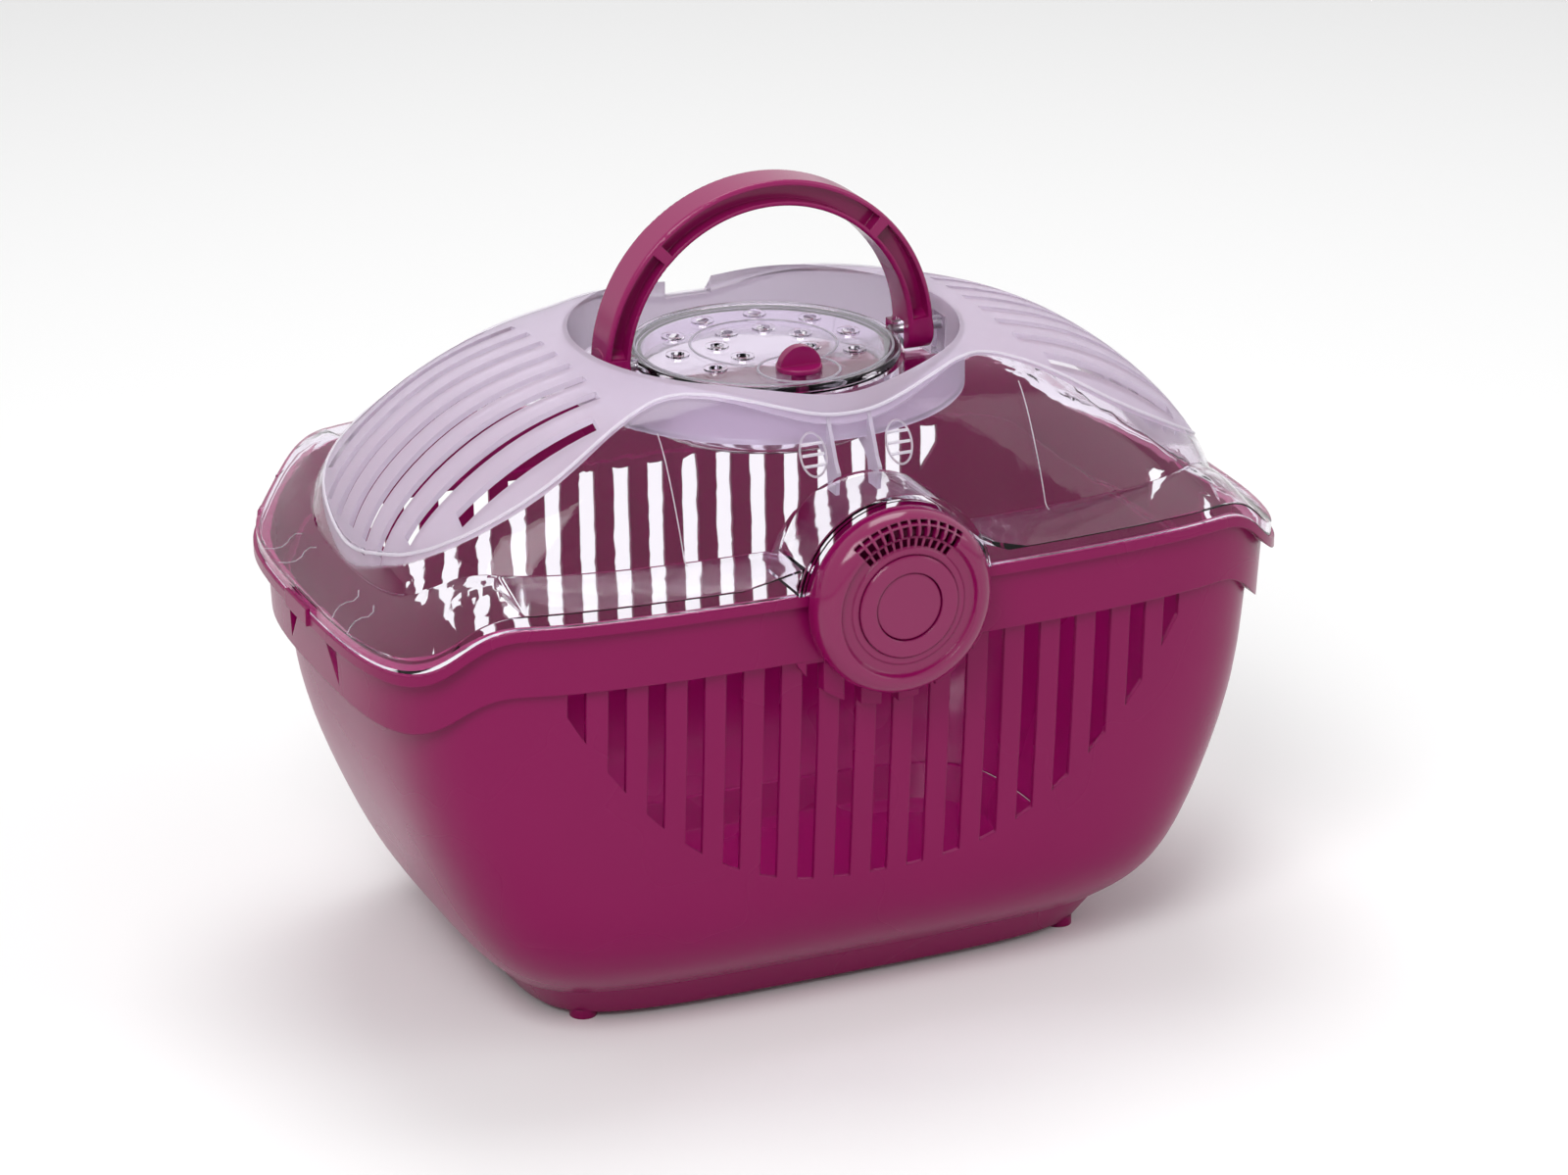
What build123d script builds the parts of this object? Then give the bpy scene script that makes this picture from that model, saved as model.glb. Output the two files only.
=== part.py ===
"""Pet carrier basket: a moulded tub, a clear domed lid hinged at the back, a folding bow handle,
a round front clasp and a round treat compartment under a lift-off cover.

Frame: millimetres, +Z up, origin on the floor under the middle of the tub, -Y is the clasp side.
"""
from build123d import *
import math
import os

os.makedirs("parts", exist_ok=True)

# Tub
wall = 2.6
foot_height = 4.0
foot_radius = 7.0
foot_x = 134.0
foot_y = 78.0
floor_thickness = 3.0
base_half_length = 156.0
base_half_width = 96.0
plinth_height = 18.0
plinth_half_length = 168.0
plinth_half_width = 106.0
body_half_length = 237.0
body_half_width = 150.5
body_top = 246.0
corner_power = 5.0
plinth_power = 5.0

# Rim: level along the long sides, lower round the two ends
rim_height = 241.0
rim_drop = 29.0
drop_start_x = 186.0
drop_end_x = 246.0
rim_half_length = 251.0
rim_half_width = 159.0
rim_power = 4.3
lip_height = 5.4
lip_overhang = 4.5
collar_height = 36.0
collar_draft = 3.5

# Side grilles
slot_pitch = 20.0
slot_width = 9.2
slot_count = 17
slot_top_gap = 1.5
slot_lowest = 81.0
slot_highest = 184.0
slot_curve_power = 2.6
end_window_width = 20.0
end_window_height = 24.0
end_tab_half_width = 16.0
end_tab_height = 3.6

# Lid
lid_wall = 2.4
seat_gap = 0.3
skirt_inset = 1.5
flange_rise = 14.0
flange_depth = 16.0
dome_foot_half_length = 226.0
dome_foot_half_width = 134.0
dome_top = 325.0
shoulder_slot_pitch = 19.0
shoulder_slot_width = 6.0
shoulder_slot_flare = 2.6
shoulder_slot_count = 9
shoulder_slot_inner = 112.0
shoulder_slot_outer = 222.0
shoulder_slot_bend = 29.0

# Recess in the lid's top, with the compartment hole
recess_radius = 99.0
recess_floor = 298.0
seat_radius = 71.5
seat_height = 10.0
tray_radius = 64.0
tray_depth = 34.0
tray_wall = 1.8
tray_flange = 4.5
tray_round = 9.0
cover_radius = 69.6
cover_thickness = 3.0
finger_notch_radius = 13.0

# Handle
handle_pivot_z = 312.0
handle_outer_radius = 90.0
handle_inner_radius = 76.5
handle_half_width = 11.0
handle_pocket_depth = 7.5
handle_pocket_wall = 2.6
pin_radius = 2.5
running_gap = 0.06
side_gap = 0.4
ear_in = 9.0
ear_out = 13.0
ear_radius = 3.0

# Clasp
clasp_z = 234.0
clasp_radius = 47.0
clasp_back_y = 160.4
clasp_depth = 16.0
clasp_wall = 3.0
face_outer_radius = 26.0
button_radius = 17.2
button_travel = 3.0
spring_radius = 4.2
clasp_pin_radius = 1.5
clasp_pin_z = 198.6
clasp_pin_y = 165.0
arch_gap = 1.6
arch_wall = 3.0
hood_lip = 1.8
apron_gap = 11.0
bolt_half_width = 7.0
bolt_thickness = 2.4
bolt_travel = 3.0
nose_half_width = 4.0
lug_radius = 3.4
lug_half_length = 8.6
plate_back = 160.8
plate_front = 163.0
screw_radius = 1.3
screw_circle = 36.5
screw_angles = (20, 160, 235, 305)
grille_columns = 12
grille_pitch = 7.0
channel_radius = 34.9
channel_depth = 3.2
grille_rows = ((32.4, 4.0, 2.6), (38.4, 5.4, 3.4), (42.9, 1.8, 3.9))

# Turn knob
knob_y = -44.0
knob_radius = 11.8
knob_shaft_radius = 4.0
knob_base = 2.4
knob_blade = 5.0
tongue_low = 300.6
tongue_thickness = 2.4
tongue_length = 13.0
tongue_half_width = 4.5
screw_head_height = 1.8
ledge_drop = 5.6
ledge_thickness = 2.2
ledge_reach = 7.0

# Rear hinge
hinge_x = 118.0
hinge_pin_radius = 2.0
knuckle_radius = 5.0
knuckle_length = 12.0
hinge_y = rim_half_width + 6.5
hinge_z = rim_height + 2.5

far = 300.0


def outline_sketch(half_length, half_width, power, height):
    """A filled level outline between an ellipse (power 2) and a rectangle, one curve a quarter."""
    pull = (8 * 2 ** (-1 / power) - 4) / 3
    with BuildSketch(Plane.XY.offset(height)) as level:
        with BuildLine():
            for turn in range(4):
                ends = [(half_length, 0), (half_length, pull * half_width),
                        (pull * half_length, half_width), (0, half_width)]
                if turn % 2:
                    ends.reverse()
                sign_x = -1 if turn in (1, 2) else 1
                sign_y = -1 if turn in (2, 3) else 1
                Bezier(*[(sign_x * x, sign_y * y) for x, y in ends])
        make_face()
    return level.sketch


def stacked(levels):
    """A solid through level outlines, each (height, half_length, half_width, power)."""
    with BuildPart() as body:
        for height, half_length, half_width, power in levels:
            add(outline_sketch(half_length, half_width, power, height))
        loft()
    return body.part


def upright(half_length, half_width, power, low, high):
    """An outline drawn straight up from one height to another."""
    with BuildPart() as body:
        add(outline_sketch(half_length, half_width, power, low))
        extrude(amount=high - low)
    return body.part


def rim_line(offset):
    """Corner points of the rim's side view, moved up by an offset, from -X to +X."""
    level = rim_height + offset
    end = level - rim_drop
    return [(-far, end), (-drop_end_x, end), (-drop_start_x, level),
            (drop_start_x, level), (drop_end_x, end), (far, end)]


def rim_band(low, high):
    """Everything between two copies of the rim's side view, right across the width."""
    with BuildPart() as band:
        with BuildSketch(Plane.XZ) as side:
            with BuildLine():
                for points in (rim_line(low), rim_line(high)):
                    Line(points[0], points[1])
                    Spline(points[1], points[2], tangents=((1, 0), (1, 0)))
                    Line(points[2], points[3])
                    Spline(points[3], points[4], tangents=((1, 0), (1, 0)))
                    Line(points[4], points[5])
                Line(rim_line(low)[0], rim_line(high)[0])
                Line(rim_line(low)[5], rim_line(high)[5])
            make_face()
        extrude(amount=far, both=True)
    return band.part


def across(radius, x_low, x_high, y, z):
    """A round bar along X."""
    with BuildPart() as bar:
        with BuildSketch(Plane.YZ.offset(x_low)):
            with Locations((y, z)):
                Circle(radius)
        extrude(amount=x_high - x_low)
    return bar.part


def block(x_low, x_high, y_low, y_high, z_low, z_high):
    """A plain block between two corners."""
    with BuildPart() as body:
        with BuildSketch(Plane.XY.offset(z_low)):
            with Locations(((x_low + x_high) / 2, (y_low + y_high) / 2)):
                Rectangle(x_high - x_low, y_high - y_low)
        extrude(amount=z_high - z_low)
    return body.part


def facing_disc(radius, y_back, y_front, z, x=0.0):
    """A round plate facing -Y, from its back to its front."""
    with BuildPart() as disc:
        with BuildSketch(Plane.XZ.offset(-y_back)):
            with Locations((x, z)):
                Circle(radius)
        extrude(amount=y_back - y_front)
    return disc.part


# Tub: sections from the plinth's crease to the rim
def body_levels(inset):
    """Level outlines of the tub's wall, drawn in by an inset."""
    crease = foot_height + plinth_height
    shares = ((0.0, 0.0, 0.0), (0.05, 0.16, 0.32), (0.13, 0.34, 0.62), (0.26, 0.55, 0.79),
              (0.44, 0.78, 0.86), (0.64, 0.91, 0.925), (0.82, 0.965, 0.965), (1.0, 1.0, 1.0))
    levels = []
    for up, out_x, out_y in shares:
        height = crease + up * (body_top - crease)
        half_length = plinth_half_length + 3 + out_x * (body_half_length - plinth_half_length - 3)
        half_width = plinth_half_width + 2 + out_y * (body_half_width - plinth_half_width - 2)
        levels.append((height, half_length - inset, half_width - inset, corner_power))
    return levels


def plinth_levels(inset, low):
    """The narrow foot of the tub under the crease."""
    high = foot_height + plinth_height
    return [(low, base_half_length - inset, base_half_width - inset, plinth_power),
            (high, plinth_half_length - inset, plinth_half_width - inset, corner_power)]


collar_top_length = rim_half_length - lip_overhang
collar_top_width = rim_half_width - lip_overhang + 1.5
collar_levels = [
    (rim_height - rim_drop - collar_height - 4, collar_top_length - collar_draft,
     collar_top_width - collar_draft, rim_power),
    (rim_height + 6, collar_top_length, collar_top_width, rim_power)]
collar_bore_levels = [(height, length - wall, width - wall, power)
                      for height, length, width, power in collar_levels]
below_rim = rim_band(-far, 0.0)
collar_solid = stacked(collar_levels) & rim_band(-collar_height, 0.0)
lip_solid = upright(rim_half_length, rim_half_width, rim_power, 150, 260) & rim_band(-lip_height, 0.0)
body_bore = stacked(body_levels(wall))
collar_bore = stacked(collar_bore_levels) & rim_band(-collar_height + wall, far / 3)
floor_top = foot_height + floor_thickness
plinth_bore = stacked(plinth_levels(wall, floor_top))
apron_radius = clasp_radius + apron_gap
apron_front = body_half_width + 3.0
slot_half_count = (slot_count - 1) // 2


def smile_height(x):
    """Height of the grille's lower edge at a distance along X."""
    share = abs(x) / (slot_half_count * slot_pitch)
    return slot_lowest + (slot_highest - slot_lowest) * share ** slot_curve_power


def slot_x(index):
    return (index - slot_half_count) * slot_pitch


with BuildPart() as tub:
    add(stacked(plinth_levels(0.0, foot_height)))
    add(stacked(body_levels(0.0)) & below_rim)
    add(collar_solid)
    add(lip_solid)
    with BuildSketch(Plane.XZ.offset(apron_front)) as apron:
        with Locations((0, clasp_z)):
            Circle(apron_radius)
        with Locations((0, rim_height + far / 2 - lip_height)):
            Rectangle(far, far, mode=Mode.SUBTRACT)
    extrude(amount=-(apron_front - body_half_width + 6))
    add(plinth_bore, mode=Mode.SUBTRACT)
    add(body_bore, mode=Mode.SUBTRACT)
    add(collar_bore, mode=Mode.SUBTRACT)
    with BuildSketch(Plane.XY) as feet:
        with GridLocations(2 * foot_x, 2 * foot_y, 2, 2):
            Circle(foot_radius)
    extrude(amount=foot_height + 1)
    # grille slots through the front and back walls, cut off below along a smile
    slot_top = rim_height - collar_height - slot_top_gap
    with BuildSketch(Plane.XZ) as slots:
        for index in range(slot_count):
            with Locations((slot_x(index), (slot_lowest + slot_top) / 2)):
                Rectangle(slot_width, slot_top - slot_lowest)
        with BuildLine():
            smile = Spline(*[(x * slot_pitch / 2, smile_height(x * slot_pitch / 2))
                             for x in range(-slot_count, slot_count + 1)])
            Polyline(smile @ 0, (smile @ 0 - (0, far)), (smile @ 1 - (0, far)), smile @ 1)
        make_face(mode=Mode.SUBTRACT)
    with BuildSketch(Plane.XZ) as front_slots:
        add(slots.sketch)
        with Locations((0, clasp_z)):
            Circle(apron_radius + 1, mode=Mode.SUBTRACT)
    extrude(front_slots.sketch, amount=far, mode=Mode.SUBTRACT)
    extrude(slots.sketch, amount=-far, mode=Mode.SUBTRACT)
    # finger windows each side of the end tab
    window_top = rim_height - rim_drop - lip_height - 1.5
    with BuildSketch(Plane.YZ) as windows:
        for side in (-1, 1):
            with BuildLine():
                Polyline((side * end_tab_half_width, window_top),
                         (side * (end_tab_half_width + end_window_width), window_top - 4),
                         (side * (end_tab_half_width + end_window_width),
                          window_top - end_window_height),
                         (side * end_tab_half_width, window_top), close=False)
            make_face()
    extrude(amount=far, both=True, mode=Mode.SUBTRACT)
    # end tabs that stand beside the lid's skirt
    for side in (-1, 1):
        tab_low = rim_height - rim_drop - lip_height
        tab_high = rim_height - rim_drop + end_tab_height
        tab_out = side * (rim_half_length + 1.4)
        tab_in = side * (rim_half_length - 0.9)
        add(block(min(tab_in, tab_out), max(tab_in, tab_out), -end_tab_half_width,
                  end_tab_half_width, tab_low, tab_high))
    # ears that carry the clasp's pin
    for side in (-1, 1):
        add(across(ear_radius, min(side * ear_in, side * ear_out), max(side * ear_in, side * ear_out),
                   -clasp_pin_y, clasp_pin_z))
        add(block(min(side * ear_in, side * ear_out), max(side * ear_in, side * ear_out),
                  -clasp_pin_y, -apron_front + 1, clasp_pin_z - 3.0, clasp_pin_z + 3.0))
    add(across(clasp_pin_radius, -ear_out - 0.2, ear_out + 0.2, -clasp_pin_y, clasp_pin_z),
        mode=Mode.SUBTRACT)
    # knuckles of the rear hinge, two for each pin
    for centre in (-hinge_x, hinge_x):
        for side in (-1, 1):
            near = centre + side * (knuckle_length / 2 + side_gap)
            away = near + side * knuckle_length
            add(across(knuckle_radius, min(near, away), max(near, away), hinge_y, hinge_z))
            add(block(min(near, away), max(near, away), rim_half_width - 3, hinge_y,
                      rim_height - lip_height, rim_height - 0.2))
        add(across(hinge_pin_radius, centre - far / 10, centre + far / 10, hinge_y, hinge_z),
            mode=Mode.SUBTRACT)
tub.part.label = "tub"
export_step(tub.part, "parts/tub.step")


# Lid: levels of the dome, from under the flange to the top
def dome_levels(inset):
    """Level outlines of the dome, drawn in and lowered by an inset."""
    shares = ((0.0, 1.015, 1.02, 4.0), (0.2, 1.0, 1.0, 4.0), (0.41, 0.965, 0.955, 3.7),
              (0.59, 0.90, 0.895, 3.3), (0.76, 0.80, 0.83, 3.0), (0.9, 0.665, 0.765, 2.7),
              (0.97, 0.545, 0.72, 2.4), (1.0, 0.475, 0.685, 2.2))
    low = rim_height - rim_drop
    levels = []
    for up, length_share, width_share, power in shares:
        height = low + up * (dome_top - low) - inset * up
        levels.append((height, dome_foot_half_length * length_share - inset,
                       dome_foot_half_width * width_share - inset, power))
    return levels


def ring_band(half_length, half_width, thickness, low, high):
    """An upright ring that follows the rim, with its wall inside the outline."""
    outer = upright(half_length, half_width, rim_power, 150, 330)
    inner = upright(half_length - thickness, half_width - thickness, rim_power, 150, 330)
    return (outer - inner) & rim_band(low, high)


skirt_length = rim_half_length - skirt_inset
skirt_width = rim_half_width - skirt_inset
flange_inner = rim_half_length - dome_foot_half_length
dome_outer = stacked(dome_levels(0.0))
dome_inner = stacked(dome_levels(lid_wall))
hood_inner = clasp_radius + arch_gap
hood_outer = hood_inner + arch_wall
hood_front = skirt_width + hood_lip
hood_back = dome_foot_half_width - 14
bulkhead = skirt_width
ear_half_width = 5.0
ear_top = handle_pivot_z + 5
inner_ear_out = handle_inner_radius - 0.6
inner_ear_in = cover_radius + 0.8
outer_ear_in = handle_outer_radius + side_gap
tray_hole = tray_radius + 0.6
keeper_low = 262.0
keeper_high = 266.0

with BuildPart() as cup:
    with BuildSketch(Plane.XY.offset(recess_floor - lid_wall)):
        Circle(recess_radius + lid_wall)
    extrude(amount=dome_top - recess_floor + lid_wall)
    add(dome_outer, mode=Mode.INTERSECT)

with BuildPart() as lid:
    add(dome_outer)
    add(dome_inner, mode=Mode.SUBTRACT)
    # cup of the recess, with the raised ring that carries the tray and the cover
    add(cup.part)
    with BuildSketch(Plane.XY.offset(recess_floor)):
        Circle(recess_radius)
    extrude(amount=far / 3, mode=Mode.SUBTRACT)
    with BuildSketch(Plane.XY.offset(recess_floor - 0.5)):
        Circle(seat_radius)
    extrude(amount=seat_height + 1.5)
    for side in (-1, 1):
        add(block(min(side * inner_ear_in, side * inner_ear_out),
                  max(side * inner_ear_in, side * inner_ear_out),
                  -ear_half_width, ear_half_width, recess_floor - 0.5, ear_top))
        add(block(min(side * outer_ear_in, side * (recess_radius + 1)),
                  max(side * outer_ear_in, side * (recess_radius + 1)),
                  -ear_half_width - 2, ear_half_width + 2, recess_floor - 0.5, ear_top))
    with BuildSketch(Plane.XY.offset(recess_floor - 2 * lid_wall)):
        Circle(tray_hole)
    extrude(amount=far / 3, mode=Mode.SUBTRACT)
    for side in (-1, 1):
        add(across(pin_radius, min(side * (inner_ear_in - 2), side * (recess_radius - 0.6)),
                   max(side * (inner_ear_in - 2), side * (recess_radius - 0.6)),
                   0, handle_pivot_z), mode=Mode.SUBTRACT)
    with BuildSketch(Plane.XY.offset(handle_pivot_z - 2)):
        with Locations((0, recess_radius)):
            Circle(finger_notch_radius)
    extrude(amount=far / 3, mode=Mode.SUBTRACT)
    # long vent slots in the two frosted shoulders
    with BuildSketch(Plane.XY.offset(rim_height)) as vents:
        for side in (-1, 1):
            for index in range(shoulder_slot_count):
                away = (index - (shoulder_slot_count - 1) / 2) * shoulder_slot_pitch
                share = abs(2 * away) / ((shoulder_slot_count - 1) * shoulder_slot_pitch)
                inner_end = shoulder_slot_inner + shoulder_slot_bend / 3 * share ** 8
                outer_end = shoulder_slot_outer - shoulder_slot_bend * share ** 4
                with Locations((side * (inner_end + outer_end) / 2, away)):
                    Rectangle(outer_end - inner_end,
                              shoulder_slot_width + shoulder_slot_flare * share ** 4)
    extrude(amount=far, mode=Mode.SUBTRACT)
    add(rim_band(-far, flange_rise - lid_wall), mode=Mode.SUBTRACT)
    # flange and skirt round the dome's foot
    add(ring_band(skirt_length, skirt_width, flange_inner + flange_depth, flange_rise - lid_wall,
                  flange_rise) - dome_inner)
    add(ring_band(skirt_length, skirt_width, lid_wall, seat_gap, flange_rise - 0.5))
    # hood over the clasp, closed by an upright bulkhead
    add(facing_disc(hood_outer, -hood_back, -hood_front, clasp_z)
        & rim_band(seat_gap, far))
    add(facing_disc(hood_inner, -hood_back + 40, -bulkhead + lid_wall, clasp_z)
        & rim_band(-far, far), mode=Mode.SUBTRACT)
    add(facing_disc(hood_inner, -bulkhead, -hood_front - 5, clasp_z), mode=Mode.SUBTRACT)
    add(block(-6, 6, -bulkhead - 2.5, -bulkhead + 0.5, keeper_low, keeper_high))
    # knuckles of the rear hinge
    for centre in (-hinge_x, hinge_x):
        add(across(knuckle_radius, centre - knuckle_length / 2, centre + knuckle_length / 2,
                   hinge_y, hinge_z))
        add(block(centre - knuckle_length / 2, centre + knuckle_length / 2,
                  skirt_width - 4.8, hinge_y, hinge_z, hinge_z + knuckle_radius))
        add(across(hinge_pin_radius + running_gap, centre - knuckle_length,
                   centre + knuckle_length, hinge_y, hinge_z), mode=Mode.SUBTRACT)
lid.part.label = "lid"
export_step(lid.part, "parts/lid.step")


# Pins that the hinges turn on
with BuildPart() as lid_hinge_pins:
    for centre in (-hinge_x, hinge_x):
        reach = 1.5 * knuckle_length + side_gap
        add(across(hinge_pin_radius, centre - reach, centre + reach, hinge_y, hinge_z))
lid_hinge_pins.part.label = "lid_hinge_pins"
export_step(lid_hinge_pins.part, "parts/lid_hinge_pins.step")

with BuildPart() as handle_pins:
    for side in (-1, 1):
        pin_in = side * (inner_ear_in + 0.2)
        pin_out = side * (recess_radius - 1.0)
        add(across(pin_radius, min(pin_in, pin_out), max(pin_in, pin_out), 0, handle_pivot_z))
handle_pins.part.label = "handle_pins"
export_step(handle_pins.part, "parts/handle_pins.step")

with BuildPart() as clasp_pivot_pin:
    add(across(clasp_pin_radius, -ear_out, ear_out, -clasp_pin_y, clasp_pin_z))
clasp_pivot_pin.part.label = "clasp_pivot_pin"
export_step(clasp_pivot_pin.part, "parts/clasp_pivot_pin.step")

# Handle: a half ring with three pockets in its front and back faces
pocket_ends = ((5, 43), (47, 133), (137, 175))
handle_mid = (handle_outer_radius + handle_inner_radius) / 2
pocket_half = (handle_outer_radius - handle_inner_radius) / 2 - handle_pocket_wall
with BuildPart() as handle:
    with BuildSketch(Plane.XZ.offset(-handle_half_width)):
        with Locations((0, handle_pivot_z)):
            Circle(handle_outer_radius)
            Circle(handle_inner_radius, mode=Mode.SUBTRACT)
        with Locations((0, handle_pivot_z - handle_outer_radius)):
            Rectangle(2 * handle_outer_radius + 2, 2 * handle_outer_radius, mode=Mode.SUBTRACT)
    extrude(amount=2 * handle_half_width)
    long_edges = handle.edges().filter_by(GeomType.CIRCLE)
    fillet(long_edges, radius=1.6)
    for start, end in pocket_ends:
        with BuildSketch(Plane.XZ.offset(handle_half_width)) as pocket:
            with BuildLine():
                arc_out = CenterArc((0, handle_pivot_z), handle_mid + pocket_half, start, end - start)
                arc_in = CenterArc((0, handle_pivot_z), handle_mid - pocket_half, start, end - start)
                Line(arc_out @ 0, arc_in @ 0)
                Line(arc_out @ 1, arc_in @ 1)
            make_face()
        extrude(amount=-handle_pocket_depth, mode=Mode.SUBTRACT)
        with BuildSketch(Plane.XZ.offset(-handle_half_width)) as rear_pocket:
            add(pocket.sketch_local)
        extrude(amount=handle_pocket_depth, mode=Mode.SUBTRACT)
    for side in (-1, 1):
        foot_in = side * handle_inner_radius
        foot_out = side * handle_outer_radius
        add(across(handle_half_width, min(foot_in, foot_out), max(foot_in, foot_out),
                   0, handle_pivot_z))
        add(across(pin_radius + running_gap, min(foot_in, foot_out) - 1,
                   max(foot_in, foot_out) + 1, 0, handle_pivot_z), mode=Mode.SUBTRACT)
handle.part.label = "handle"
export_step(handle.part, "parts/handle.step")


# Compartment under the cover: a clear tray that hangs by its flange
tray_top = recess_floor + seat_height + 1.0
with BuildPart() as tray_bore:
    with BuildSketch(Plane.XY.offset(tray_top - tray_depth + tray_wall)):
        Circle(tray_radius - tray_wall)
    extrude(amount=tray_depth + tray_wall)
    fillet(tray_bore.edges().group_by(Axis.Z)[0], radius=tray_round - tray_wall)

with BuildPart() as tray_ledge:
    with BuildSketch(Plane.XY.offset(tray_top - ledge_drop)):
        Circle(tray_radius - tray_wall / 2)
    extrude(amount=ledge_thickness)
    add(block(-8, 8, -tray_radius, -tray_radius + tray_wall + ledge_reach,
              tray_top - far / 10, tray_top), mode=Mode.INTERSECT)

with BuildPart() as compartment_tray:
    with BuildSketch(Plane.XY.offset(tray_top - tray_depth)):
        Circle(tray_radius)
    extrude(amount=tray_depth)
    fillet(compartment_tray.edges().group_by(Axis.Z)[0], radius=tray_round)
    with BuildSketch(Plane.XY.offset(tray_top)):
        Circle(tray_radius + tray_flange)
    extrude(amount=tray_wall)
    add(tray_bore.part, mode=Mode.SUBTRACT)
    add(tray_ledge.part)
compartment_tray.part.label = "compartment_tray"
export_step(compartment_tray.part, "parts/compartment_tray.step")

# Cover: a clear disc with vent rings and a bore for the knob
cover_low = tray_top + tray_wall + seat_gap
cover_high = cover_low + cover_thickness
vent_rings = ((24, 7, 15), (47, 10, 0))
boss_radius = 6.0
vent_radius = 3.4
with BuildPart() as compartment_cover:
    with BuildSketch(Plane.XY.offset(cover_low)):
        Circle(cover_radius)
    extrude(amount=cover_thickness)
    fillet(compartment_cover.edges().group_by(Axis.Z)[-1], radius=1.2)
    with BuildSketch(Plane.XY.offset(cover_high - 0.5)) as bosses:
        for ring_radius, count, start in vent_rings:
            for index in range(count):
                angle = math.radians(start + 360 * index / count)
                spot = (ring_radius * math.cos(angle), ring_radius * math.sin(angle))
                if math.dist(spot, (0, knob_y)) > knob_radius + 11:
                    with Locations(spot):
                        Circle(boss_radius)
                        Circle(vent_radius, mode=Mode.SUBTRACT)
    extrude(amount=1.3)
    with BuildSketch(Plane.XY.offset(cover_low - 1)) as vents:
        for ring_radius, count, start in vent_rings:
            for index in range(count):
                angle = math.radians(start + 360 * index / count)
                spot = (ring_radius * math.cos(angle), ring_radius * math.sin(angle))
                if math.dist(spot, (0, knob_y)) > knob_radius + 11:
                    with Locations(spot):
                        Circle(vent_radius)
        with Locations((0, knob_y)):
            Circle(knob_shaft_radius + running_gap)
    extrude(amount=far / 10, mode=Mode.SUBTRACT)
compartment_cover.part.label = "compartment_cover"
export_step(compartment_cover.part, "parts/compartment_cover.step")

# Turn knob with its tongue and screw
knob_low = cover_high + seat_gap
with BuildPart() as turn_knob:
    with BuildSketch(Plane.XY.offset(knob_low)):
        with Locations((0, knob_y)):
            Circle(knob_radius)
    extrude(amount=knob_base)
    fillet(turn_knob.edges().group_by(Axis.Z)[-1], radius=0.8)
    with BuildSketch(Plane.XZ.offset(-knob_y + knob_blade / 2)):
        with Locations((0, knob_low + 1)):
            Circle(knob_radius - 0.6)
        with Locations((0, knob_low + 1 - far / 2)):
            Rectangle(far, far, mode=Mode.SUBTRACT)
    extrude(amount=-knob_blade)
    with BuildSketch(Plane.XY.offset(tongue_low + tongue_thickness)):
        with Locations((0, knob_y)):
            Circle(knob_shaft_radius)
    extrude(amount=knob_low - tongue_low - tongue_thickness + 0.5)
    with BuildSketch(Plane.XY.offset(tongue_low)):
        with Locations((0, knob_y)):
            Circle(screw_radius)
    extrude(amount=tongue_thickness + 8, mode=Mode.SUBTRACT)
turn_knob.part.label = "turn_knob"
export_step(turn_knob.part, "parts/turn_knob.step")

with BuildPart() as knob_tongue:
    with BuildSketch(Plane.XY.offset(tongue_low)):
        with Locations((-tongue_length / 2, knob_y)):
            SlotOverall(tongue_length + 2 * tongue_half_width, 2 * tongue_half_width)
        with Locations((0, knob_y)):
            Circle(screw_radius + 0.05, mode=Mode.SUBTRACT)
    extrude(amount=tongue_thickness)
knob_tongue.part.label = "knob_tongue"
export_step(knob_tongue.part, "parts/knob_tongue.step")

with BuildPart() as knob_screw:
    with BuildSketch(Plane.XY.offset(tongue_low - screw_head_height)):
        with Locations((0, knob_y)):
            Circle(2.2 * screw_radius)
    extrude(amount=screw_head_height)
    with BuildSketch(Plane.XY.offset(tongue_low)):
        with Locations((0, knob_y)):
            Circle(screw_radius)
    extrude(amount=tongue_thickness + 7)
    add(block(-0.5, 0.5, knob_y - 2.4, knob_y + 2.4, tongue_low - screw_head_height,
              tongue_low - screw_head_height + 0.8), mode=Mode.SUBTRACT)
knob_screw.part.label = "knob_screw"
export_step(knob_screw.part, "parts/knob_screw.step")

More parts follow.
